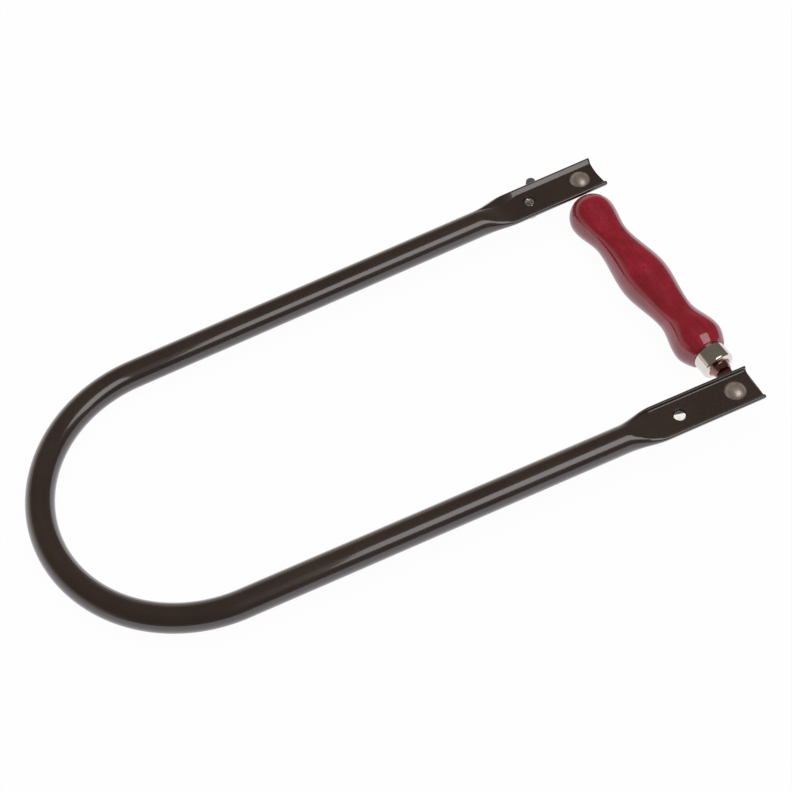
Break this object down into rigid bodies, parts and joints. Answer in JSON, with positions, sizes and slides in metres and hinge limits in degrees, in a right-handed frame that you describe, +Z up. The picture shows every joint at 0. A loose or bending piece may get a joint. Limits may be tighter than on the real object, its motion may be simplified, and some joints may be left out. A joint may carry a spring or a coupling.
{
  "type": "fret saw",
  "caption": "Deep tubular fret saw frame bent to a U, with a lever screw clamp under each flattened arm end and a turned wooden handle folded in between the arms.",
  "frame": {"origin": "centre of the bow's arc, in the mid plane of the tube", "axes": "+X from the bow to the tips, +Y to the upper arm, +Z up, towards the lips of the pressed ends"},
  "size_m": [0.2959, 0.154, 0.0222],
  "materials": {
    "frame_paint": "glossy dark brown enamel on steel tube",
    "rivet_steel": "satin browned steel",
    "zinc_steel": "bright zinc plated steel",
    "polished_steel": "nickel plated and polished",
    "stained_wood": "crimson stain under clear lacquer"
  },
  "bodies": {
    "frame": {"bow_frame": "frame_paint", "upper_rivet": "rivet_steel", "lower_rivet": "rivet_steel", "upper_rivet_washer": "zinc_steel", "lower_rivet_washer": "zinc_steel", "upper_stud": "zinc_steel", "lower_stud": "zinc_steel", "upper_thrust_washer": "zinc_steel", "lower_thrust_washer": "zinc_steel"},
    "upper_jaw": {"upper_jaw": "zinc_steel"},
    "lower_jaw": {"lower_jaw": "zinc_steel"},
    "upper_lever": {"upper_lever": "zinc_steel"},
    "lower_lever": {"lower_lever": "zinc_steel"},
    "handle": {"handle_tang": "polished_steel", "handle_ferrule": "polished_steel", "handle_grip": "stained_wood"}
  },
  "joints": [
    {"name": "upper_lever_turn", "type": "hinge", "parent": "frame", "child": "upper_lever", "pos_m": [0.19037, 0.06427, -0.0042], "axis": [0, 0, 1], "range_deg": [-58, 122]},
    {"name": "upper_jaw_rock", "type": "hinge", "parent": "frame", "child": "upper_jaw", "pos_m": [0.21636, 0.06478, -0.0029], "axis": [-0.0197, 0.9998, 0], "range_deg": [-0.25, 0.6]},
    {"name": "lower_lever_turn", "type": "hinge", "parent": "frame", "child": "lower_lever", "pos_m": [0.19037, -0.06427, -0.0042], "axis": [0, 0, 1], "range_deg": [-120, 0]},
    {"name": "lower_jaw_rock", "type": "hinge", "parent": "frame", "child": "lower_jaw", "pos_m": [0.21636, -0.06478, -0.0029], "axis": [0.0197, 0.9998, 0], "range_deg": [-0.25, 0.6]},
    {"name": "handle_fold", "type": "hinge", "parent": "frame", "child": "handle", "pos_m": [0.21636, -0.06478, -0.00505], "axis": [0, 0, 1], "range_deg": [-183.7, 0]}
  ]
}
